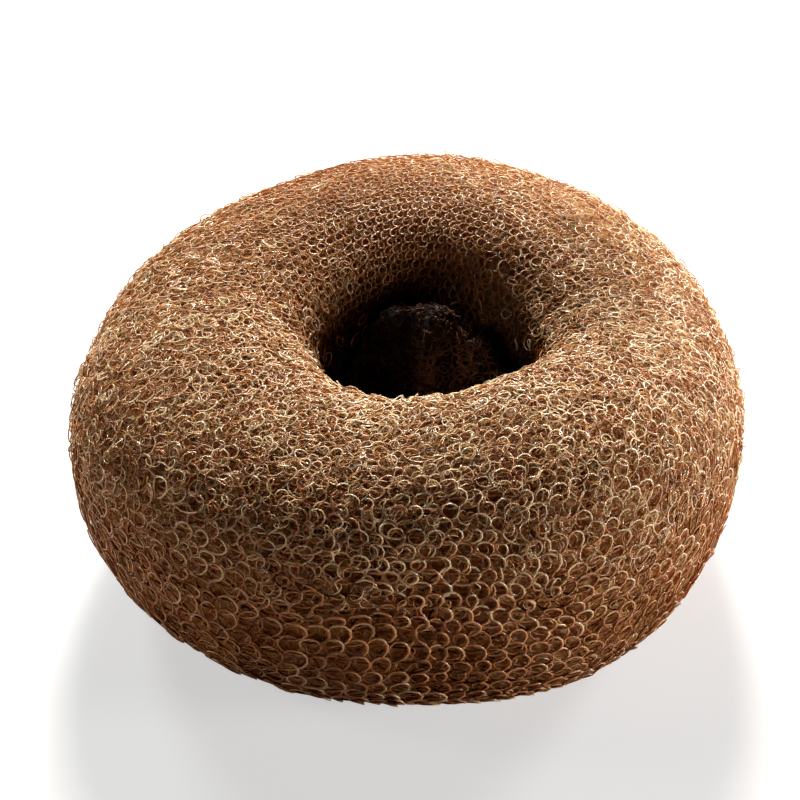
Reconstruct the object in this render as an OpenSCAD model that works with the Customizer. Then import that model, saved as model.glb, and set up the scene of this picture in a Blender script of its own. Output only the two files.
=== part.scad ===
// Hair bun ring: a springy netting sleeve rolled up on itself into a fat ring, with its free end
// gathered and tucked down the hole. The ring lies on its flattened underside, with +Z up.
// The origin is on the table, at the middle of the ring's outline.

/* [Ring] */
// Outer diameter of the rolled ring
ring_d = 90; // [80:1:100]
// Height of the ring as it lies, before its uneven lift
ring_h = 39.6; // [36:0.2:42]
// Height of the widest part of the ring
belly_z = 21; // [18:0.5:23]
// Radius of the highest line round the ring
crest_r = 26.4; // [25:0.2:28]
// How square the shoulder is above the belly, 2 is an ellipse
shoulder_bow = 2.6; // [2:0.1:3]
// How square the ring is below the belly
heel_bow = 2.2; // [2:0.1:3]
// How square the funnel is above the throat
funnel_bow = 2.4; // [2:0.1:3]
// How deep the roll would reach below the table if it were not pressed flat
press = 1.2; // [0.6:0.1:2]

/* [Hole] */
// Radius of the throat in the rolled ring
throat_r = 13.6; // [13:0.1:14.2]
// Height where the funnel meets the throat
lip_z = 27; // [25:0.5:29]
// Height where the throat opens out to the underside
sill_z = 11; // [9:0.5:13]
// Place of the hole's middle, across and back
mouth_at = [1.2, -1.3];

/* [Tucked end] */
// Thickness of the gathered end between its lobes
end_wall = 2; // [1.4:0.1:2.4]
// Height of its upper edge between its lobes
end_top = 21.5; // [20:0.5:24]
// Height of its lower edge
end_foot = 6; // [4:0.5:9]
// How square its section is, 2 is an ellipse
end_bow = 2.3; // [2:0.1:3.5]
// Clearance between the gathered end and the throat
gap = 0.3; // [0.2:0.05:0.5]

/* [Hidden] */

// Uneven outline: waves round the ring, size in mm, azimuth of a peak in degrees
reach_waves = [
    [1, 1.2, 149],
    [2, 0.5, 26],
    [3, 0.6, 79],
    [4, 0.7, 38],
    [7, 0.3, 41],
];
// Uneven height of the crest, with the same columns
lift_waves = [
    [1, 0.4, 233],
    [2, 1.4, 101],
    [3, 1.2, 75],
];
// Uneven throat, with the same columns
mouth_waves = [
    [1, 1.2, 35],
    [2, 0.4, 0],
];
// Folds of the gathered end: azimuth and half-width in degrees, bulge into the hole and lift of the
// upper edge in mm. The first row is the bank behind the hole that its three tall folds stand on.
lobes = [
    [86, 52, 0, 7.5],
    [6, 24, 5, 1.5],
    [46, 17, 5.2, 1.5],
    [80, 17, 7.4, 3.4],
    [112, 15, 3.4, 2.6],
    [146, 14, 1.5, 0],
    [184, 26, 4.4, 3],
    [228, 14, 2.6, 1],
    [270, 20, 3.6, 0],
    [318, 18, 4, 1],
];

sections = 72;      // round the ring
shoulder_steps = 13; // belly to crest
funnel_steps = 12;   // crest to throat
sole_steps = 10;     // throat to underside
heel_steps = 12;     // underside to belly
end_sections = 108;  // round the gathered end
end_steps = 18;      // round its section

function add_up(list, i = 0) = i < len(list) ? list[i] + add_up(list, i + 1) : 0;
function wave(rows, a) = add_up([for (row = rows) row[1] * cos(row[0] * (a - row[2]))]);

// Signed angle from b to a, between -180 and 180
function turn(a, b) = (a - b + 540) % 360 - 180;
function lobed(a, column) =
    add_up([for (lobe = lobes) lobe[column] * exp(-pow(turn(a, lobe[0]) / lobe[1], 4))]);

function throat(a) = throat_r + wave(mouth_waves, a);

// One point of a quarter bow about middle: at angle 0 it is half.x to the side, at 90 half.y up
function quarter(middle, half, bow, t) = [
    middle.x + half.x * pow(max(cos(t), 0), 2 / bow),
    middle.y + half.y * pow(max(sin(t), 0), 2 / bow),
];

function pressed(p) = [p.x, max(p.y, 0)];

// Radius and height of the ring's section at azimuth a: up the shoulder, down the funnel and the
// throat, and back along the underside
function ring_section(a) =
    let (
        out = ring_d / 2 + wave(reach_waves, a) - crest_r,
        top = ring_h + wave(lift_waves, a),
        in = crest_r - throat(a)
    )
    concat(
        [for (i = [0 : shoulder_steps - 1])
            quarter([crest_r, belly_z], [out, top - belly_z], shoulder_bow, 90 * i / shoulder_steps)],
        [for (i = [0 : funnel_steps])
            quarter([crest_r, lip_z], [-in, top - lip_z], funnel_bow, 90 - 90 * i / funnel_steps)],
        [for (i = [0 : sole_steps - 1])
            pressed(quarter([crest_r, sill_z], [-in, -sill_z - press], 2, 90 * i / sole_steps))],
        [for (i = [0 : heel_steps - 1])
            pressed(quarter([crest_r, belly_z], [out, -belly_z - press], heel_bow, 90 - 90 * i / heel_steps))]
    );

function bowed(x, bow) = sign(x) * pow(abs(x), 2 / bow);

// Radius and height of the gathered end's section at azimuth a
function end_section(a) =
    let (
        thick = end_wall + lobed(a, 2),
        middle_r = throat(a) - gap - thick / 2,
        top = end_top + lobed(a, 3),
        rise = (top - end_foot) / 2,
        middle_z = (top + end_foot) / 2
    )
    [for (i = [0 : end_steps - 1])
        let (t = 360 * i / end_steps)
        [middle_r + thick / 2 * bowed(cos(t), end_bow), middle_z + rise * bowed(sin(t), end_bow)]];

// Sections placed round the middle of the hole
function placed(rings) = [
    for (k = [0 : len(rings) - 1])
        let (a = 360 * k / len(rings))
        for (p = rings[k])
            [mouth_at.x + p.x * cos(a), mouth_at.y + p.x * sin(a), p.y]
];

// A closed ring of sections that all have the same number of points
module looped(rings) {
    count = len(rings);
    n = len(rings[0]);
    faces = [
        for (k = [0 : count - 1])
            for (i = [0 : n - 1])
                let (
                    next = (k + 1) % count,
                    up = (i + 1) % n
                )
                [k * n + i, k * n + up, next * n + up, next * n + i]
    ];
    polyhedron(points = placed(rings), faces = faces, convexity = 6);
}

module rolled_sleeve() {
    color([0.62, 0.43, 0.29])
        looped([for (k = [0 : sections - 1]) ring_section(360 * k / sections)]);
}

module tucked_end() {
    color([0.40, 0.27, 0.19])
        looped([for (k = [0 : end_sections - 1]) end_section(360 * k / end_sections)]);
}

rolled_sleeve();
tucked_end();
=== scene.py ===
# A fat ring rolled from a knitted netting sleeve, its gathered end tucked down the hole.
# Every layer lies on one surface: station 0 to 1 runs round the roll, azimuth runs round the hole.
import math
import bpy
import numpy as np
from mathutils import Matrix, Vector


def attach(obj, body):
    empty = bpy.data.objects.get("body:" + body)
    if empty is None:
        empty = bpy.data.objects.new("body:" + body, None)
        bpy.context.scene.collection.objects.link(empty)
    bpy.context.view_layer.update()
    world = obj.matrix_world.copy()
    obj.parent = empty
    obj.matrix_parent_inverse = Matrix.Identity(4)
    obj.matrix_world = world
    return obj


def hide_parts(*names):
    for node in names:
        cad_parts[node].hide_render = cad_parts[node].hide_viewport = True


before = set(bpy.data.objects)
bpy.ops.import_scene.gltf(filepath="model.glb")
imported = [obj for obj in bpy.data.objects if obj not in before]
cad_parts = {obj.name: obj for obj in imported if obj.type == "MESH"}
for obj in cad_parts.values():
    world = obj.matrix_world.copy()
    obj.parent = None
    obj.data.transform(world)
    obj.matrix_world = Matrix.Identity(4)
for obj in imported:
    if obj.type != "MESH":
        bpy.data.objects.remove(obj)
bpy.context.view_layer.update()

mm = 0.001
aboveTable = 0.9  # a thread's middle stays this share of its radius above the table
scene = bpy.context.scene

# the rolled ring, as the CAD part has it; each wave is its count round the ring, its size in mm and the
# azimuth of a peak in degrees
ring = {
    "outerRadius": 45 * mm,
    "height": 39.6 * mm,
    "bellyHeight": 21 * mm,
    "crestRadius": 26.4 * mm,
    "shoulderBow": 2.6,
    "heelBow": 2.2,
    "funnelBow": 2.4,
    "press": 1.2 * mm,
    "throatRadius": 13.6 * mm,
    "lipHeight": 27 * mm,
    "sillHeight": 11 * mm,
    "centre": (1.2 * mm, -1.3 * mm),
    "reachWaves": [(1, 1.2, 149), (2, 0.5, 26), (3, 0.6, 79), (4, 0.7, 38), (7, 0.3, 41)],
    "liftWaves": [(1, 0.4, 233), (2, 1.4, 101), (3, 1.2, 75)],
    "mouthWaves": [(1, 1.2, 35), (2, 0.4, 0)],
    "edgeSoftness": 0.7 * mm,
    "gridAzimuths": 360,
    "gridStations": 320,
    "tableSteps": 4001,
}


# sum over the rows of size * cos(count * (azimuth - peak)), in metres
def waveSum(rows, azimuth):
    total = np.zeros_like(azimuth)
    for count, size, peak in rows:
        total = total + size * mm * np.cos(count * (azimuth - math.radians(peak)))
    return total


# radius and height at t = 0 to 5: shoulder, funnel, throat, sole and heel, each a bowed quarter
# x = reach * cos^(2/bow), y = rise * sin^(2/bow) but for the straight throat; nothing goes under the table
def rollSection(t, reach, top, inward):
    stretch = np.clip(np.floor(t), 0, 4).astype(int)
    part = (t - stretch) * math.pi / 2
    up, down = np.sin(part), np.cos(part)
    crest = ring["crestRadius"]
    belly = ring["bellyHeight"]
    lip = ring["lipHeight"]
    sill = ring["sillHeight"]
    under = ring["press"]
    shoulderPower = 2 / ring["shoulderBow"]
    funnelPower = 2 / ring["funnelBow"]
    heelPower = 2 / ring["heelBow"]
    shoulder = (crest + reach * down ** shoulderPower, belly + (top - belly) * up ** shoulderPower)
    funnel = (crest - inward * up ** funnelPower, lip + (top - lip) * down ** funnelPower)
    throat = (crest - inward + 0 * up, lip + (sill - lip) * (t - stretch) + 0 * reach)
    sole = (crest - inward * down, np.maximum(sill - (sill + under) * up, 0) + 0 * reach)
    heelHeight = np.maximum(belly - (belly + under) * down ** heelPower, 0)
    heel = (crest + reach * up ** heelPower, heelHeight + 0 * reach)
    parts = (shoulder, funnel, throat, sole, heel)
    pick = np.broadcast_to(stretch, np.broadcast_shapes(t.shape, reach.shape))
    radius = np.choose(pick, [np.broadcast_to(p[0], pick.shape) for p in parts])
    height = np.choose(pick, [np.broadcast_to(p[1], pick.shape) for p in parts])
    return radius, height


# t along the ring's section without its waves, and the length up to each t
def stationTable():
    t = np.linspace(0, 5, ring["tableSteps"])
    reach = np.array([ring["outerRadius"] - ring["crestRadius"]])
    inward = np.array([ring["crestRadius"] - ring["throatRadius"]])
    r, z = rollSection(t, reach, np.array([ring["height"]]), inward)
    length = np.concatenate([[0], np.cumsum(np.hypot(np.diff(r), np.diff(z)))])
    return t, length


# the station at a t: the share of the section's length up to it
def stationOf(t):
    table, length = stationTable()
    return float(np.interp(t, table, length) / length[-1])


# a low-pass over one closed axis of a grid, exp(-(k * width)^2 / 2) on its waves
def softened(grid, axis, width):
    wave = np.fft.rfft(grid, axis=axis)
    k = np.arange(wave.shape[axis]) * 2 * math.pi * width
    shape = [1] * grid.ndim
    shape[axis] = -1
    return np.fft.irfft(wave * np.exp(-k.reshape(shape) ** 2 / 2), n=grid.shape[axis], axis=axis)


# places radius and height round the hole: centre + radius * (cos azimuth, sin azimuth)
def placedRound(azimuth, radius, height):
    x = ring["centre"][0] + radius * np.cos(azimuth)
    y = ring["centre"][1] + radius * np.sin(azimuth)
    return np.stack([x, y, height], axis=-1)


# distance of points from the hole's middle, sqrt(x^2 + y^2)
def fromMiddle(points):
    return np.hypot(points[..., 0] - ring["centre"][0], points[..., 1] - ring["centre"][1])


# the roll's surface: its section at each azimuth, with the creases at the table softened
def rollSurface():
    t, length = stationTable()
    stations = ring["gridStations"]
    station = np.interp(np.arange(stations) / stations * length[-1], length, t)[None, :]
    azimuth = (np.arange(ring["gridAzimuths"]) / ring["gridAzimuths"] * 2 * math.pi)[:, None]
    reach = ring["outerRadius"] + waveSum(ring["reachWaves"], azimuth) - ring["crestRadius"]
    top = ring["height"] + waveSum(ring["liftWaves"], azimuth)
    inward = ring["crestRadius"] - ring["throatRadius"] - waveSum(ring["mouthWaves"], azimuth)
    radius, height = rollSection(station, reach, top, inward)
    grid = placedRound(azimuth, radius, height)
    return softened(grid, 1, ring["edgeSoftness"] / length[-1]), length[-1]


# the gathered end down the hole, as the CAD part has it
tuckedEnd = {
    "wall": 2.0 * mm,
    "top": 21.5 * mm,
    "foot": 6.0 * mm,
    "bow": 2.3,
    "gap": 0.3 * mm,
    "commonFold": (8 * mm, 23 * mm),  # thickness and height that the stations are spaced for
    "lobes": [  # azimuth, half-width, bulge in mm, lift in mm
        (86, 52, 0, 7.5), (6, 24, 5.0, 1.5), (46, 17, 5.2, 1.5), (80, 17, 7.4, 3.4), (112, 15, 3.4, 2.6),
        (146, 14, 1.5, 0), (184, 26, 4.4, 3.0), (228, 14, 2.6, 1.0), (270, 20, 3.6, 0), (318, 18, 4.0, 1.0),
    ],
    "gridAzimuths": 540,
    "gridStations": 150,
    "tableSteps": 2001,
}


# bulge and lift, each the sum over the lobes of size * exp(-(turn / half width)^4)
def lobeForm(lobes, azimuth):
    bulge, lift = np.zeros_like(azimuth), np.zeros_like(azimuth)
    for middle, halfWidth, inwards, upwards in lobes:
        turn = (np.degrees(azimuth) - middle + 540) % 360 - 180
        share = np.exp(-(turn / halfWidth) ** 4)
        bulge = bulge + inwards * mm * share
        lift = lift + upwards * mm * share
    return bulge, lift


# x or y of a bowed oval: sign * size^(2/bow)
def bowed(x):
    return np.sign(x) * np.abs(x) ** (2 / tuckedEnd["bow"])


# evenly spaced values of a, by length along the closed line x, y that is given at each a
def evenly(a, x, y, count):
    length = np.concatenate([[0], np.cumsum(np.hypot(np.diff(x), np.diff(y)))])
    return np.interp(np.arange(count) / count * length[-1], length, a)


# the gathered end's surface: a bowed oval whose thickness follows the lobes. Its azimuths are even
# along the folds inside the hole, and its stations are even along a common fold's section.
def endSurface():
    fine = np.linspace(0, 2 * math.pi, tuckedEnd["tableSteps"])
    edge = ring["throatRadius"] + waveSum(ring["mouthWaves"], fine) - tuckedEnd["gap"] - tuckedEnd["wall"]
    inner = edge - lobeForm(tuckedEnd["lobes"], fine)[0]
    azimuth = evenly(fine, inner * np.cos(fine), inner * np.sin(fine), tuckedEnd["gridAzimuths"])[:, None]
    across, tall = tuckedEnd["commonFold"]
    foldX, foldY = across / 2 * bowed(np.cos(fine)), tall / 2 * bowed(np.sin(fine))
    turn = evenly(fine, foldX, foldY, tuckedEnd["gridStations"])
    bulge, lift = lobeForm(tuckedEnd["lobes"], azimuth)
    thick = tuckedEnd["wall"] + bulge
    middle = ring["throatRadius"] + waveSum(ring["mouthWaves"], azimuth) - tuckedEnd["gap"] - thick / 2
    top = tuckedEnd["top"] + lift
    foot = tuckedEnd["foot"]
    radius = middle + thick / 2 * bowed(np.cos(turn))
    height = (top + foot) / 2 + (top - foot) / 2 * bowed(np.sin(turn))
    return placedRound(azimuth, radius, height)


# unit normals of a closed grid: the cross product of the steps along its two axes
def gridNormals(grid):
    along = np.roll(grid, -1, 0) - np.roll(grid, 1, 0)
    across = np.roll(grid, -1, 1) - np.roll(grid, 1, 1)
    return unit(np.cross(along, across))


# vectors divided by their lengths
def unit(vectors):
    return vectors / np.linalg.norm(vectors, axis=-1, keepdims=True)


# value of a closed grid at fractions u and v, blended from the four points round it
def sampled(grid, u, v):
    x, y = (u % 1) * grid.shape[0], (v % 1) * grid.shape[1]
    i, j = np.floor(x).astype(int), np.floor(y).astype(int)
    fx, fy = (x - i)[..., None], (y - j)[..., None]
    i, j = i % grid.shape[0], j % grid.shape[1]
    iNext, jNext = (i + 1) % grid.shape[0], (j + 1) % grid.shape[1]
    low = grid[i, j] * (1 - fx) + grid[iNext, j] * fx
    high = grid[i, jNext] * (1 - fx) + grid[iNext, jNext] * fx
    return low * (1 - fy) + high * fy


# puts whole arrays into a mesh: points, quads, a map and the tone of each point
def meshPiece(name, points, quads, uv, material, tone):
    mesh = bpy.data.meshes.new(name)
    mesh.vertices.add(len(points))
    mesh.vertices.foreach_set("co", np.ascontiguousarray(points, dtype=np.float32).ravel())
    mesh.loops.add(quads.size)
    mesh.loops.foreach_set("vertex_index", np.ascontiguousarray(quads, dtype=np.int32).ravel())
    mesh.polygons.add(len(quads))
    mesh.polygons.foreach_set("loop_start", np.arange(0, quads.size, 4, dtype=np.int32))
    mesh.polygons.foreach_set("use_smooth", np.ones(len(quads), dtype=bool))
    mesh.uv_layers.new(name="OFBake")
    mesh.update(calc_edges=True)
    mesh.uv_layers["OFBake"].data.foreach_set("uv", np.ascontiguousarray(uv, dtype=np.float32).ravel())
    shade = mesh.attributes.new("tone", "FLOAT", "POINT")
    shade.data.foreach_set("value", np.ascontiguousarray(tone, dtype=np.float32).ravel())
    mesh.validate()
    mesh.materials.append(material)
    piece = bpy.data.objects.new(name, mesh)
    scene.collection.objects.link(piece)
    return piece


# points and quads of a closed grid, with a map that runs 0 to 1 along both axes
def gridMesh(name, grid, material, tone):
    rows, cols = grid.shape[:2]
    i, j = np.meshgrid(np.arange(rows), np.arange(cols), indexing="ij")
    iNext, jNext = (i + 1) % rows, (j + 1) % cols
    corners = [i * cols + j, iNext * cols + j, iNext * cols + jNext, i * cols + jNext]
    quads = np.stack(corners, axis=-1).reshape(-1, 4)
    u = np.stack([i, i + 1, i + 1, i], axis=-1) / rows
    v = np.stack([j, j, j + 1, j + 1], axis=-1) / cols
    uv = np.stack([u, v], axis=-1).reshape(-1, 2)
    return meshPiece(name, grid.reshape(-1, 3), quads, uv, material, tone)


strandMap = {
    "firstSide": 0.25,  # where the first corner of a strand stands, in sides
    "stripShare": 0.9,  # how much of its own strip of the map a strand fills
}


# a round strand along closed paths: centre + radius * (cos turn * side + sin turn * out)
def strandPiece(name, strands, sides, material):
    paths, outwards, radius, tone = strands
    count, points = paths.shape[:2]
    along = np.roll(paths, -1, 1) - np.roll(paths, 1, 1)
    along /= np.linalg.norm(along, axis=-1, keepdims=True) + 1e-12
    side = np.cross(along, outwards)
    side /= np.linalg.norm(side, axis=-1, keepdims=True) + 1e-12
    out = np.cross(side, along)
    turn = (np.arange(sides) + strandMap["firstSide"]) / sides * 2 * math.pi
    around = np.cos(turn)[:, None] * side[:, :, None] + np.sin(turn)[:, None] * out[:, :, None]
    strandPoints = paths[:, :, None] + radius[:, :, None, None] * around
    c, p, k = np.meshgrid(np.arange(count), np.arange(points), np.arange(sides), indexing="ij")

    def corner(point, step):
        return (c * points + point % points) * sides + step % sides

    corners = [corner(p, k), corner(p + 1, k), corner(p + 1, k + 1), corner(p, k + 1)]
    quads = np.stack(corners, axis=-1).reshape(-1, 4)
    u = np.stack([p, p + 1, p + 1, p], axis=-1) / points
    v = (c[..., None] + np.stack([k, k, k + 1, k + 1], axis=-1) / sides * strandMap["stripShare"]) / count
    uv = np.stack([u, v], axis=-1).reshape(-1, 2)
    shade = np.repeat(tone[:, :, None], sides, axis=2)
    piece = meshPiece(name, strandPoints.reshape(-1, 3), quads, uv, material, shade)
    print(name, "made,", count, "threads,", len(quads) * 2, "triangles")
    return piece


# 1 at the azimuth middle, falling off to both sides as exp(-(turn / half width)^2)
def facing(u, middle, halfWidth):
    turn = (u * 360 - middle + 540) % 360 - 180
    return np.exp(-(turn / halfWidth) ** 2)


# painted shade down the hole: how light the thread is painted at places along the section, as rollSection's
# t has them
mouth = {
    "paintedShades": [
        (0.8, 1.0), (1.0, 0.9), (1.25, 0.85), (1.6, 0.75), (1.75, 0.46),
        (1.9, 0.28), (2.0, 0.16), (2.6, 0.16), (3.2, 1.0),
    ],
    "spared": [  # share, azimuth, half-width, place where it starts and where it is full
        (0.9, -90, 60, 0.0, 0.1), (-1.5, -6, 36, 0.6, 0.92),
        (0.7, 20, 40, 1.4, 1.8), (0.35, 188, 35, 1.4, 1.8),
    ],
}


# painted light and shade at a station: 1 - (1 - its tone) * (1 - spared), where spared is how much less of
# the painted shade the front rim and the two side walls take, and how much more the right one's crest takes
def mouthShade(u, station):
    places = [stationOf(place) for place, light in mouth["paintedShades"]]
    shade = np.interp(station, places, [light for place, light in mouth["paintedShades"]])
    spared = 0
    for share, middle, halfWidth, start, full in mouth["spared"]:
        depth = np.interp(station, (stationOf(start), stationOf(full)), (0, 1))
        spared = spared + share * facing(u, middle, halfWidth) * depth
    return 1 - (1 - shade) * (1 - np.minimum(spared, 1))


# azimuth of a place along a course, where the wales crowd together by a share about one azimuth
def crowded(place, share, middle, halfWidth):
    steps = 720  # for each turn, from half a turn before the first place to half a turn after the last
    fine = np.arange(2 * steps + 1) / steps - 0.5
    reach = np.concatenate([[0], np.cumsum(1 - share * facing(fine[1:], middle, halfWidth))])
    start, end = reach[steps // 2], reach[steps // 2 + steps]
    return np.interp(place, fine, (reach - start) / (end - start))


# width of a wale at a distance from the hole's middle, between a full gather and an even width
def waleWidth(layer, radius):
    even = layer["waleOpen"] ** (1 - layer["gather"])
    return (2 * math.pi * radius / layer["wales"]) ** layer["gather"] * even


# stations between low and high whose spacing follows the wale width there
def courseStations(grid, length, layer, low, high):
    steps, around = 200, 60  # points looked at along the stretch and round the hole
    station = np.linspace(low, high, steps)
    radius = fromMiddle(sampled(grid, np.arange(around)[:, None] / around, station[None, :])).mean(0)
    pace = length / layer["course"] / waleWidth(layer, radius)
    number = np.concatenate([[0], np.cumsum(np.diff(station) * (pace[1:] + pace[:-1]) / 2)])
    total = int(round(number[-1]))
    return np.interp((np.arange(total) + 0.5) / total * number[-1], number, station)


# a springy looped thread on a grid. Each course runs round the hole and curls once per wale:
# across = turn / 2pi - curl * sin(turn) and up = curl * tall * cos(turn), in wale widths, so that the
# loops shrink where the sleeve is gathered, and out = lean * cos(turn + over) + tilt * sin(turn)
def loopPaths(grid, normals, length, layer, courses):
    seeded = np.random.default_rng(layer["seed"])
    wales, points, count = layer["wales"], layer["points"], len(courses)
    turn = np.arange(points) / points * 2 * math.pi
    ease = turn / 2 / math.pi
    ease = ease * ease * (3 - 2 * ease)
    place = np.arange(wales)[None, :, None] / wales
    back = facing(place, *layer["calmAt"])
    calm = 1 - layer["calm"] * back
    restless = 1 + layer["restless"] * facing(place, *layer["restlessAt"])

    def stray(size):  # a random value for each loop, eased into the next one's
        value = seeded.normal(size=(count, wales, 1)).clip(-2, 2) * size * calm
        return value * (1 - ease) + np.roll(value, -1, 1) * ease

    curl = layer["curl"] * (1 - layer["calmCurl"] * back + stray(layer["curlSpread"]))
    stagger = layer["stagger"] * (np.arange(count) % 2)[:, None, None]
    across = turn / 2 / math.pi - curl * np.sin(turn) + stagger + stray(layer["stray"]) * restless
    up = layer["flip"] * curl * np.cos(turn) * layer["tall"] + stray(layer["stray"]) * restless
    lean, tilt = layer["lean"] + stray(layer["tilt"]), stray(layer["tilt"])
    over = np.cos(turn + layer["over"])
    out = lean * over + tilt * np.sin(turn) + stray(layer["strayOut"]) - layer["depth"]
    u = crowded((place + across / wales).reshape(count, -1), *layer["crowd"])
    station = np.asarray(courses)[:, None]
    wale = waleWidth(layer, fromMiddle(sampled(grid, u, station + 0 * u)))
    v = station + up.reshape(count, -1) * wale / length
    loose = 1 - layer["calm"] * facing(u, *layer["calmAt"])
    for countU, countV, sizeU, sizeV, phase in layer["drift"]:
        bend = loose * np.sin(2 * math.pi * (countU * u + countV * v + phase))
        u, v = u + sizeU * bend / wales, v + sizeV * wale / length * bend
    normal = unit(sampled(normals, u, v))
    paths = sampled(grid, u, v) + out.reshape(count, -1)[..., None] * normal
    front = facing(u, *layer["frontAt"])
    girth = layer["frontGirth"] * front * np.interp(paths[..., 2], layer["frontHeights"], (1, 0))
    radius = layer["radius"] * (1 + girth - layer["fine"] * facing(u, *layer["restlessAt"]))
    paths[..., 2] = np.maximum(paths[..., 2], radius * aboveTable)
    # the tone: the thread's own random spread, plus painted light on the raised side of each loop and
    # painted shade on its sunk side (toneOver), times the painted shade down the hole
    spread = layer["toneSpread"] * seeded.normal(size=(count, wales, 1)) + layer["toneOver"] * over
    tone = (layer["tone"] + calm * spread).reshape(count, -1) * mouthShade(u, station)
    # painted light and shade on the front: the thread is painted lighter or darker by height
    heights = [height for height, rise in layer["frontPaintedLightAndShade"]]
    rise = np.interp(paths[..., 2], heights, [rise for height, rise in layer["frontPaintedLightAndShade"]])
    return paths, normal, radius, tone * (1 + rise * front)


# small closed rings scattered by area over a surface, where share tells how dense they are:
# centre + reach * (cos turn * side + squash * sin turn * up + twist * cos(2 turn + phase) * facingOut),
# where up is tipped out of the surface
def scatteredRings(grid, normals, layer, share):
    seeded = np.random.default_rng(layer["seed"])
    number, points = layer["number"], layer["points"]
    cross = np.cross(np.roll(grid, -1, 0) - grid, np.roll(grid, -1, 1) - grid)
    total = np.cumsum(np.linalg.norm(cross, axis=-1) * share)
    i, j = np.divmod(np.searchsorted(total, seeded.random(number) * total[-1]), grid.shape[1])
    u = (i + seeded.random(number)) / grid.shape[0]
    v = (j + seeded.random(number)) / grid.shape[1]
    normal = unit(sampled(normals, u, v))
    side = unit(np.cross(normal, seeded.normal(size=(number, 3))))
    tip = np.radians(seeded.uniform(*layer["tip"], (number, 1)))
    up = np.cos(tip) * np.cross(side, normal) + np.sin(tip) * normal
    facingOut = np.cross(side, up)[:, None]
    reach = seeded.uniform(*layer["reach"], (number, 1, 1))
    squash = seeded.uniform(*layer["squash"], (number, 1, 1))
    turn = (np.arange(points) / points * 2 * math.pi)[None, :, None]
    centre = (sampled(grid, u, v) + seeded.uniform(*layer["lift"], (number, 1)) * normal)[:, None]
    circle = np.cos(turn) * side[:, None] + squash * np.sin(turn) * up[:, None]
    phase = seeded.uniform(*layer["phase"], (number, 1, 1))
    paths = centre + reach * (circle + layer["twist"] * np.cos(2 * turn + phase) * facingOut)
    paths[..., 2] = np.maximum(paths[..., 2], layer["radius"] * aboveTable)
    spread = layer["toneSpread"] * seeded.normal(size=(number, 1))
    tone = layer["tone"] + spread + layer["toneOver"] * np.cos(turn[..., 0])
    return paths, facingOut + 0 * paths, layer["radius"] + 0 * paths[..., 0], tone


# a shader node of a kind at a place in the editor, with its settings
def node(tree, kind, at, **settings):
    made = tree.nodes.new(kind)
    made.location = at
    for name, value in settings.items():
        setattr(made, name, value)
    return made


# a colour ramp whose stops are given as position and colour
def rampNode(tree, at, stops):
    made = node(tree, "ShaderNodeValToRGB", at)
    ramp = made.color_ramp
    ramp.elements[0].position = stops[0][0]
    ramp.elements[0].color = (*stops[0][1], 1)
    ramp.elements[1].position = stops[-1][0]
    ramp.elements[1].color = (*stops[-1][1], 1)
    for position, colour in stops[1:-1]:
        stop = ramp.elements.new(position)
        stop.color = (*colour, 1)
    return made


# roughness, and the light let through the nylon, the same all over
def setSoftness(shader, look):
    shader.inputs["Roughness"].default_value = look["roughness"]
    shader.inputs["Subsurface Weight"].default_value = look["glow"]
    shader.inputs["Subsurface Radius"].default_value = look["glowRadius"]
    shader.inputs["Subsurface Scale"].default_value = look["glowDepth"]


# nylon thread: its colour and gloss follow the tone attribute, which holds the thread's own random tone and
# painted light and shade, with a soft mottling in the piece's own space, colour = ramp(tone * (1 + mottle *
# (noise - 0.5)))
def threadMaterial(name, look):
    material = bpy.data.materials.new(name)
    material.use_nodes = True
    tree = material.node_tree
    shader = tree.nodes["Principled BSDF"]
    tone = node(tree, "ShaderNodeAttribute", (-900, 200), attribute_name="tone")
    place = node(tree, "ShaderNodeTexCoord", (-1100, -100))
    mottle = node(tree, "ShaderNodeTexNoise", (-900, -100))
    mottle.inputs["Scale"].default_value = look["mottleScale"]
    mottle.inputs["Detail"].default_value = look["mottleDetail"]
    tree.links.new(place.outputs["Object"], mottle.inputs["Vector"])
    spread = node(tree, "ShaderNodeMath", (-800, 0), operation="MULTIPLY_ADD")
    spread.inputs[1].default_value = look["mottle"]
    spread.inputs[2].default_value = 1 - look["mottle"] / 2
    tree.links.new(mottle.outputs["Fac"], spread.inputs[0])
    blend = node(tree, "ShaderNodeMath", (-650, 100), operation="MULTIPLY")
    tree.links.new(spread.outputs[0], blend.inputs[0])
    tree.links.new(tone.outputs["Fac"], blend.inputs[1])
    ramp = rampNode(tree, (-500, 100), look["stops"])
    tree.links.new(blend.outputs[0], ramp.inputs["Fac"])
    tree.links.new(ramp.outputs["Color"], shader.inputs["Base Color"])
    glosses = [(-150, "Specular IOR Level", look["specular"]), (-350, "Coat Weight", look["coat"])]
    for low, socket, full in glosses:
        gloss = node(tree, "ShaderNodeMapRange", (-500, low))
        gloss.inputs["From Min"].default_value, gloss.inputs["From Max"].default_value = look["glossTones"]
        gloss.inputs["To Max"].default_value = full
        tree.links.new(tone.outputs["Fac"], gloss.inputs["Value"])
        tree.links.new(gloss.outputs["Result"], shader.inputs[socket])
    shader.inputs["Coat Roughness"].default_value = look["coatRoughness"]
    setSoftness(shader, look)
    return material


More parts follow.
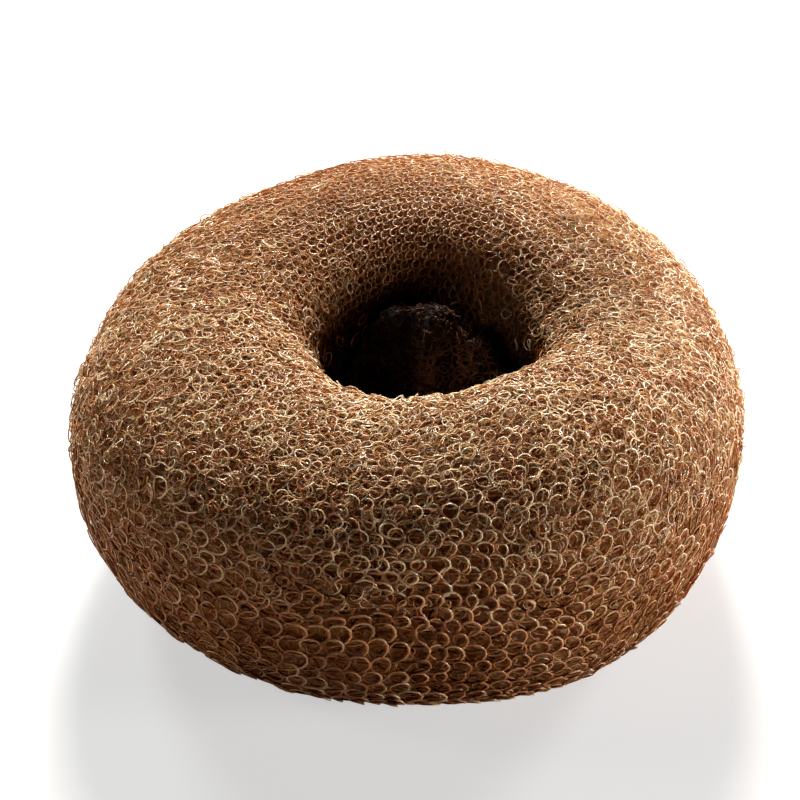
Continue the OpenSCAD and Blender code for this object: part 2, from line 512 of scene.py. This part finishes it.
# the deeper rolled layers: rings of thread round the middles of cells, two sets over each other, each
# at |distance from the middle - ring radius|, light on a dark ground and raised by a bump
def innerMaterial(name, look):
    material = bpy.data.materials.new(name)
    material.use_nodes = True
    tree = material.node_tree
    shader = tree.nodes["Principled BSDF"]
    place = node(tree, "ShaderNodeTexCoord", (-1300, 0))
    threads = []
    for scale, shift, low in look["ringSets"]:
        moved = node(tree, "ShaderNodeVectorMath", (-1150, low), operation="ADD")
        moved.inputs[1].default_value = (shift, shift, shift)
        tree.links.new(place.outputs["Object"], moved.inputs[0])
        cells = node(tree, "ShaderNodeTexVoronoi", (-1000, low), feature="F1")
        cells.inputs["Scale"].default_value = scale / look["cell"]
        tree.links.new(moved.outputs[0], cells.inputs["Vector"])
        fromRing = node(tree, "ShaderNodeMath", (-850, low), operation="SUBTRACT")
        fromRing.inputs[1].default_value = look["ringRadius"]
        tree.links.new(cells.outputs["Distance"], fromRing.inputs[0])
        away = node(tree, "ShaderNodeMath", (-700, low), operation="ABSOLUTE")
        tree.links.new(fromRing.outputs[0], away.inputs[0])
        threads.append(away)
    least = node(tree, "ShaderNodeMath", (-550, 50), operation="MINIMUM")
    tree.links.new(threads[0].outputs[0], least.inputs[0])
    tree.links.new(threads[1].outputs[0], least.inputs[1])
    stops = [(look["threadHalf"], look["thread"]), (look["threadEdge"], look["ground"])]
    ramp = rampNode(tree, (-600, 50), stops)
    tree.links.new(least.outputs[0], ramp.inputs["Fac"])
    # the tone attribute holds painted shade: the core is multiplied darker down the hole and at the front
    tone = node(tree, "ShaderNodeAttribute", (-600, 300), attribute_name="tone")
    shaded = node(tree, "ShaderNodeMix", (-300, 150), data_type="RGBA", blend_type="MULTIPLY")
    shaded.inputs[0].default_value = 1  # the factor; 6 and 7 are the two colours
    tree.links.new(ramp.outputs["Color"], shaded.inputs[6])
    tree.links.new(tone.outputs["Color"], shaded.inputs[7])
    tree.links.new(shaded.outputs[2], shader.inputs["Base Color"])
    raised = node(tree, "ShaderNodeMapRange", (-600, -250))
    raised.inputs["From Max"].default_value = look["threadEdge"]
    raised.inputs["To Min"].default_value = 1
    raised.inputs["To Max"].default_value = 0
    tree.links.new(least.outputs[0], raised.inputs["Value"])
    bump = node(tree, "ShaderNodeBump", (-350, -250))
    bump.inputs["Strength"].default_value = look["bumpStrength"]
    bump.inputs["Distance"].default_value = look["bump"]
    tree.links.new(raised.outputs["Result"], bump.inputs["Height"])
    tree.links.new(bump.outputs["Normal"], shader.inputs["Normal"])
    shader.inputs["Specular IOR Level"].default_value = look["specular"]
    setSoftness(shader, look)
    return material


# tan thread of the outer layer; stops are tones and their colours, dark to light; as the tone carries
# painted light and shade, the dark stops also give painted shade and the light ones painted light
netting = {
    "mottleScale": 160,
    "mottleDetail": 3,
    "mottle": 0.7,
    "stops": [
        (0.10, (0.04, 0.012, 0.004)), (0.38, (0.27, 0.098, 0.032)),
        (0.65, (0.54, 0.25, 0.10)), (0.95, (0.90, 0.62, 0.37)),
    ],
    "roughness": 0.22,
    "specular": 0.6,
    "coat": 0.25,
    "coatRoughness": 0.08,
    # gloss follows the tone, so it fades where painted shade darkens the thread
    "glossTones": (0.30, 0.80),  # no gloss on thread as dark as the first, all of it on the second
    "glow": 0.6,  # light let through the nylon
    "glowRadius": (1.0, 0.8, 0.6),
    "glowDepth": 0.4 * mm,
}
# the layer under it: a darker, redder copy of the same thread, painted shade for its place deeper in the
# knit
deepShadedNetting = dict(
    netting,
    stops=[
        (0.10, (0.02, 0.007, 0.003)), (0.38, (0.25, 0.084, 0.021)),
        (0.65, (0.48, 0.20, 0.065)), (0.95, (0.76, 0.44, 0.20)),
    ],
)
# the gathered end down the hole: a duller, less orange copy of the same thread, painted for the shade there
shadedNetting = dict(
    netting,
    stops=[
        (0.05, (0.02, 0.011, 0.008)), (0.30, (0.20, 0.105, 0.068)),
        (0.62, (0.45, 0.26, 0.165)), (0.95, (0.72, 0.47, 0.33)),
    ],
    roughness=0.45,
    specular=0.3,
    coat=0.0,
    glossTones=(0.0, 0.3),
)
# the rolled layers under the loops: a real ring pattern, its rings painted lighter, painted light that
# stands in for light the layers above let through
rolledInside = {
    "cell": 1.9 * mm,
    "ringSets": ((1, 0, 200), (1.3, 7.3, -150)),  # scale, shift, and height in the editor
    "ringRadius": 0.40,
    "threadHalf": 0.04,
    "threadEdge": 0.14,
    "thread": (0.88, 0.47, 0.18),
    "ground": (0.46, 0.185, 0.055),
    "bump": 0.4 * mm,
    "bumpStrength": 0.9,
    "roughness": 0.5,
    "specular": 0.35,
    "glow": 1.0,
    "glowRadius": (1.0, 0.5, 0.25),
    "glowDepth": 4.0 * mm,
}
# and those of the gathered end: a near-black copy, painted shade for the dark of the hole
shadedTuckedInside = dict(
    rolledInside,
    thread=(0.07, 0.035, 0.02),
    ground=(0.012, 0.006, 0.004),
    bump=0.5 * mm,
    roughness=0.6,
    glow=0.0,
)

threadTan = threadMaterial("nylonThreadTan", netting)
threadDeepShaded = threadMaterial("nylonThreadDeepShaded", deepShadedNetting)
threadShade = threadMaterial("nylonThreadShade", shadedNetting)
insideTan = innerMaterial("rolledNettingInside", rolledInside)
insideDark = innerMaterial("shadedTuckedNettingInside", shadedTuckedInside)

rollGrid, rollLength = rollSurface()
rollNormals = gridNormals(rollGrid)
endGrid = endSurface()
endNormals = gridNormals(endGrid)
stations = np.arange(rollGrid.shape[1])[None, :] / rollGrid.shape[1]
azimuths = np.arange(rollGrid.shape[0])[:, None] / rollGrid.shape[0]
print("surfaces ready, the roll's section is", round(rollLength / mm, 1), "mm round")

# the soft inside of the roll, under the looped layers
rollInside = {
    "inset": ((1.9, 1.25), (2.2, 0.1), (2.8, 0.1), (3.1, 1.25)),  # place along the section, depth in mm
    "shadePower": 3,
    "frontShade": 0.25,
    "frontAt": (-90, 65),
    "everyAzimuth": 2,
    "everyStation": 3,
    "fill": 0.7,
}


# the roll's surface moved in by the inset, with the mouth's painted shade to a power and painted shade at
# the front
def rollCoreMesh():
    places = [stationOf(place) for place, inset in rollInside["inset"]]
    inset = np.interp(stations, places, [inset for place, inset in rollInside["inset"]])[..., None] * mm
    tone = mouthShade(azimuths, stations) ** rollInside["shadePower"]
    tone = tone * (1 - rollInside["frontShade"] * facing(azimuths, *rollInside["frontAt"]))
    kept = (slice(None, None, rollInside["everyAzimuth"]), slice(None, None, rollInside["everyStation"]))
    return gridMesh("sleeve_core", (rollGrid - inset * rollNormals)[kept], insideTan, tone[kept])


# the soft inside of the gathered end, which meets the roll's where it is packed against the throat
endInside = {
    "inset": 0.8 * mm,
    "insetAtThroat": -0.35 * mm,
    "throatFrom": 0.3,  # how squarely its surface faces the throat where the change starts
    "throatOver": 0.5,  # and how much further it turns until the change is complete
    "every": 3,
    "fill": 0.5,
}


# the gathered end's surface moved in by an inset that changes with how squarely it faces the throat
def endCoreMesh():
    outward = endGrid - np.array((*ring["centre"], 0))
    outward[..., 2] = 0
    square = (unit(outward) * endNormals).sum(-1)
    toThroat = np.clip((square - endInside["throatFrom"]) / endInside["throatOver"], 0, 1)
    inset = endInside["inset"] + (endInside["insetAtThroat"] - endInside["inset"]) * toThroat
    every = endInside["every"]
    grid = (endGrid - inset[..., None] * endNormals)[::every, ::every]
    return gridMesh("end_core", grid, insideDark, np.ones(grid.shape[:2]))


rollCore = rollCoreMesh()
endCore = endCoreMesh()
print("cores made")

# the outer looped layer. curl, tall, stray and course are in wale widths, depth is under the outline,
# calm is how much more even the loops are at the back, an azimuth is given with its half-width, and a
# band's from and to are places along the section
outerKnit = {
    "seed": 11,
    "sides": 3,
    "radius": 0.10 * mm,
    "waleOpen": 2.45 * mm,
    "gather": 0.75,
    "curl": 0.72,
    "curlSpread": 0.12,
    "flip": 1,
    "lean": 0.13 * mm,
    "over": 0.7,
    "depth": 0.48 * mm,
    "stray": 0.07,
    "strayOut": 0.07 * mm,
    "calm": 0.7,
    "calmAt": (105, 55),
    "calmCurl": 0.2,
    "restless": 1.0,  # how much further the loops stray at the right
    "restlessAt": (25, 55),
    "fine": 0.25,  # how much thinner the thread is there
    "crowd": (0.4, 20, 60),
    "frontAt": (-90, 55),
    "frontGirth": 0.8,  # how much thicker the thread is low on the front
    "frontHeights": (26 * mm, 37 * mm),
    "tone": 0.64,
    "toneSpread": 0.17,
    # toneOver: painted light on the raised side of each loop, painted shade on its sunk side
    "toneOver": 0.19,
    # painted light and shade: the front's thread is painted darker low down and lighter near the crest
    "frontPaintedLightAndShade": (  # height, and how much lighter or darker the thread is there on the front
        (8 * mm, -0.10), (16 * mm, -0.36), (25 * mm, -0.20), (35 * mm, 0.22), (40 * mm, 0.13),
    ),
    "drift": [  # waves round and along, size round and along in wales, phase
        (3, 2, 0.5, 0.4, 0.1), (8, -3, 0.12, 0.14, 0.4),
        (17, 5, 0.06, 0.08, 0.7), (-11, 8, 0.05, 0.07, 0.2),
    ],
    "bands": [  # name, from, to, wales, points of a loop, stagger, tilt in mm, tall, course
        ("heel_knit", 4.0, 5.0, 118, 12, 0.3, 0.12, 1.08, 1.08),
        ("side_knit", 0.0, 1.16, 122, 12, 0.5, 0.19, 0.80, 0.81),
        ("mouth_knit", 1.16, 1.62, 96, 11, 0.5, 0.16, 0.78, 0.80),
        ("throat_knit", 1.62, 2.4, 66, 10, 0.5, 0.16, 0.78, 0.80),
        ("sole_knit", 3.2, 4.0, 70, 9, 0.5, 0.10, 0.78, 0.80),
    ],
}
# the looped layer under it, more open and turned the other way
underKnit = dict(
    outerKnit,
    seed=23,
    waleOpen=2.8 * mm,
    curl=0.70,
    flip=-1,
    lean=0.14 * mm,
    depth=0.95 * mm,
    stray=0.08,
    strayOut=0.12 * mm,
    calm=0.5,
    calmCurl=0.0,
    fine=0.45,
    crowd=(0.2, 20, 60),
    frontAt=(-90, 60),
    frontGirth=0.3,
    frontPaintedLightAndShade=((8 * mm, 0.0), (16 * mm, -0.20), (25 * mm, -0.12), (35 * mm, 0.20), (40 * mm, 0.1)),
    drift=[(4, -2, 0.4, 0.4, 0.6), (12, 5, 0.06, 0.08, 0.3)],
    bands=[
        ("under_heel_knit", 4.3, 5.0, 96, 9, 0.5, 0.15, 0.9, 0.9),
        ("under_side_knit", 0.0, 1.2, 96, 9, 0.5, 0.2, 0.78, 0.78),
        ("under_mouth_knit", 1.2, 2.2, 72, 8, 0.5, 0.15, 0.78, 0.78),
    ],
)


# every band of a layer, each a piece of its own
def knitBands(layer, material):
    made = []
    for number, (name, low, high, wales, points, stagger, tilt, tall, course) in enumerate(layer["bands"]):
        band = dict(layer, wales=wales, points=points, stagger=stagger, tilt=tilt * mm, tall=tall)
        band["course"] = course
        band["seed"] = layer["seed"] + number
        courses = courseStations(rollGrid, rollLength, band, stationOf(low), stationOf(high))
        strands = loopPaths(rollGrid, rollNormals, rollLength, band, courses)
        made.append(strandPiece(name, strands, layer["sides"], material))
    return made


knitPieces = knitBands(outerKnit, threadTan) + knitBands(underKnit, threadDeepShaded)

# single loops that stand out of the knit; dense is place along the section and share
looseLoops = {
    "number": 2500,
    "points": 10,
    "sides": 3,
    "radius": 0.09 * mm,
    "seed": 51,
    "reach": (0.75 * mm, 1.2 * mm),
    "squash": (0.65, 1.0),
    "tip": (3, 36),
    "lift": (-0.55 * mm, -0.2 * mm),
    "twist": 0.12,
    "phase": (0, 6),
    "tone": 0.72,
    "toneSpread": 0.14,
    "toneOver": 0.12,
    "dense": [
        (0.05, 0.0), (0.15, 0.6), (0.5, 1.0), (1.0, 1.0), (1.3, 1.2), (1.6, 0.6), (2.0, 0.3), (2.2, 0.0),
    ],
    "calm": 0.96,
    "calmAt": (100, 62),
}


# rings scattered over the roll, as dense as the table says and few at the calm back
def looseLoopsPiece():
    places = [stationOf(place) for place, share in looseLoops["dense"]]
    share = np.interp(stations, places, [share for place, share in looseLoops["dense"]])
    share = share * (1 - looseLoops["calm"] * facing(azimuths, *looseLoops["calmAt"]))
    strands = scatteredRings(rollGrid, rollNormals, looseLoops, share)
    return strandPiece("loose_loops", strands, looseLoops["sides"], threadTan)


# the crumpled loops of the gathered end; dense goes by height, lights are painted shade by height, and dark
# is painted shade by azimuth
endLoops = {
    "number": 1700,
    "points": 9,
    "sides": 3,
    "radius": 0.10 * mm,
    "seed": 37,
    "reach": (0.7 * mm, 1.1 * mm),
    "squash": (0.6, 1.0),
    "tip": (0, 60),
    "lift": (-0.5 * mm, 0.0),
    "twist": 0.2,
    "phase": (0, 6),
    "tone": 0.66,
    "toneSpread": 0.16,
    "toneOver": 0.12,
    "dense": ((15 * mm, 0.3), (20 * mm, 1.0)),
    "lights": [
        (16 * mm, 0.1), (21 * mm, 0.6), (26 * mm, 0.72), (29 * mm, 0.32), (31 * mm, 0.16), (33 * mm, 0.07),
    ],
    "dark": 0.95,
    "darkAt": (128, 42),
}


# rings scattered over the gathered end, with painted shade by height and by azimuth: tone * light * (1 -
# dark * facing)
def endLoopsPiece():
    heights = [height for height, share in endLoops["dense"]]
    share = np.interp(endGrid[..., 2], heights, [share for height, share in endLoops["dense"]])
    paths, outwards, radius, tone = scatteredRings(endGrid, endNormals, endLoops, share)
    azimuth = np.arctan2(paths[..., 1] - ring["centre"][1], paths[..., 0] - ring["centre"][0])
    heights = [height for height, light in endLoops["lights"]]
    light = np.interp(paths[..., 2], heights, [light for height, light in endLoops["lights"]])
    tone = tone * light * (1 - endLoops["dark"] * facing(azimuth / 2 / math.pi, *endLoops["darkAt"]))
    return strandPiece("end_knit", (paths, outwards, radius, tone), endLoops["sides"], threadShade)


loosePiece = looseLoopsPiece()
endPiece = endLoopsPiece()

for piece in [rollCore, *knitPieces, loosePiece]:
    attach(piece, "root")
    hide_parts("rolled_sleeve")
for piece in [endCore, endPiece]:
    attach(piece, "root")
    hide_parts("tucked_end")

# the studio: a pale floor, and large soft lights, the strongest from the back
studio = {
    "floorSize": 30.0,
    "floorColour": (0.60, 0.60, 0.60),
    "floorGlow": 0.55,
    "floorRoughness": 0.9,
    "floorSpecular": 0.1,
    "bounceColour": (0.80, 0.64, 0.55),
    "bounceDepth": 0.1 * mm,
    "worldColour": (1.0, 1.0, 1.0),
    "worldStrength": 0.8,
    "lightDistance": 0.8,
    "lightSize": 0.20,
    "lightAim": (0, 0, 0.02),
    "lights": [  # azimuth and elevation in degrees, power in watts, colour
        ("backLight", 90, 45, 7.8, (1.0, 0.90, 0.82)),
        ("backLowLight", 90, 25, 3.2, (0.88, 1.0, 1.0)),
        ("backRightLight", 45, 10, 6.6, (0.94, 0.98, 1.0)),
        ("rightLight", -10, 8, 4.9, (1.0, 0.97, 0.94)),
        ("backLeftLight", 125, 30, 2.1, (0.88, 1.0, 1.0)),
        ("leftLight", 180, 30, 0.7, (1.0, 0.96, 0.92)),
    ],
}


# a flat card at a height: the floor shows, and the bounce card under it only throws light back up
def studioCard(name, height, colour, glow):
    half = studio["floorSize"] / 2
    corners = [(-half, -half, height), (half, -half, height), (half, half, height), (-half, half, height)]
    mesh = bpy.data.meshes.new(name)
    mesh.from_pydata(corners, [], [(0, 1, 2, 3)])
    material = bpy.data.materials.new(name)
    material.use_nodes = True
    shader = material.node_tree.nodes["Principled BSDF"]
    shader.inputs["Base Color"].default_value = (*colour, 1)
    shader.inputs["Roughness"].default_value = studio["floorRoughness"]
    shader.inputs["Specular IOR Level"].default_value = studio["floorSpecular"]
    shader.inputs["Emission Color"].default_value = (1, 1, 1, 1)
    shader.inputs["Emission Strength"].default_value = glow
    mesh.materials.append(material)
    card = bpy.data.objects.new(name, mesh)
    scene.collection.objects.link(card)
    return card


# a round lamp on a sphere about the ring: distance * (cos e cos a, cos e sin a, sin e)
def studioLamp(name, azimuth, elevation, power, colour):
    a, e = math.radians(azimuth), math.radians(elevation)
    light = bpy.data.lights.new(name, "AREA")
    light.shape = "DISK"
    light.size = studio["lightSize"]
    light.energy = power
    light.color = colour
    lamp = bpy.data.objects.new(name, light)
    direction = Vector((math.cos(e) * math.cos(a), math.cos(e) * math.sin(a), math.sin(e)))
    lamp.location = studio["lightDistance"] * direction
    lamp.rotation_euler = (Vector(studio["lightAim"]) - lamp.location).to_track_quat("-Z", "Y").to_euler()
    lamp.visible_camera = False
    scene.collection.objects.link(lamp)


floor = studioCard("floor", 0, studio["floorColour"], studio["floorGlow"])
floor.visible_diffuse = floor.visible_glossy = floor.visible_transmission = floor.visible_shadow = False
bounce = studioCard("bounceCard", -studio["bounceDepth"], studio["bounceColour"], 0)
bounce.visible_camera = False

world = bpy.data.worlds.new("studioWorld")
scene.world = world
world.use_nodes = True
backdrop = world.node_tree.nodes["Background"]
backdrop.inputs["Color"].default_value = (*studio["worldColour"], 1)
backdrop.inputs["Strength"].default_value = studio["worldStrength"]
world.cycles_visibility.diffuse = world.cycles_visibility.glossy = False  # a backdrop that gives no light
world.cycles_visibility.transmission = world.cycles_visibility.scatter = False

for lampRow in studio["lights"]:
    studioLamp(*lampRow)
scene.view_settings.view_transform = "Standard"

# the photograph's view, from the front; elevation in degrees, lens in mm
view = {
    "elevation": 38.83,
    "distance": 0.300,
    "aimHeight": 0.020,
    "lens": 99.38,
    "sensor": 36,
    "shift": (-0.01275, 0.0194),
    "clipStart": 0.01,
}
camera = bpy.data.cameras.new("photoView")
camera.lens = view["lens"]
camera.sensor_width = view["sensor"]
camera.shift_x, camera.shift_y = view["shift"]
camera.clip_start = view["clipStart"]
viewer = bpy.data.objects.new("photoView", camera)
elevation = math.radians(view["elevation"])
back, up = view["distance"] * math.cos(elevation), view["distance"] * math.sin(elevation)
viewer.location = (0, -back, view["aimHeight"] + up)
viewer.rotation_euler = (math.pi / 2 - elevation, 0, 0)
scene.collection.objects.link(viewer)
scene.camera = viewer
print("studio and camera ready")
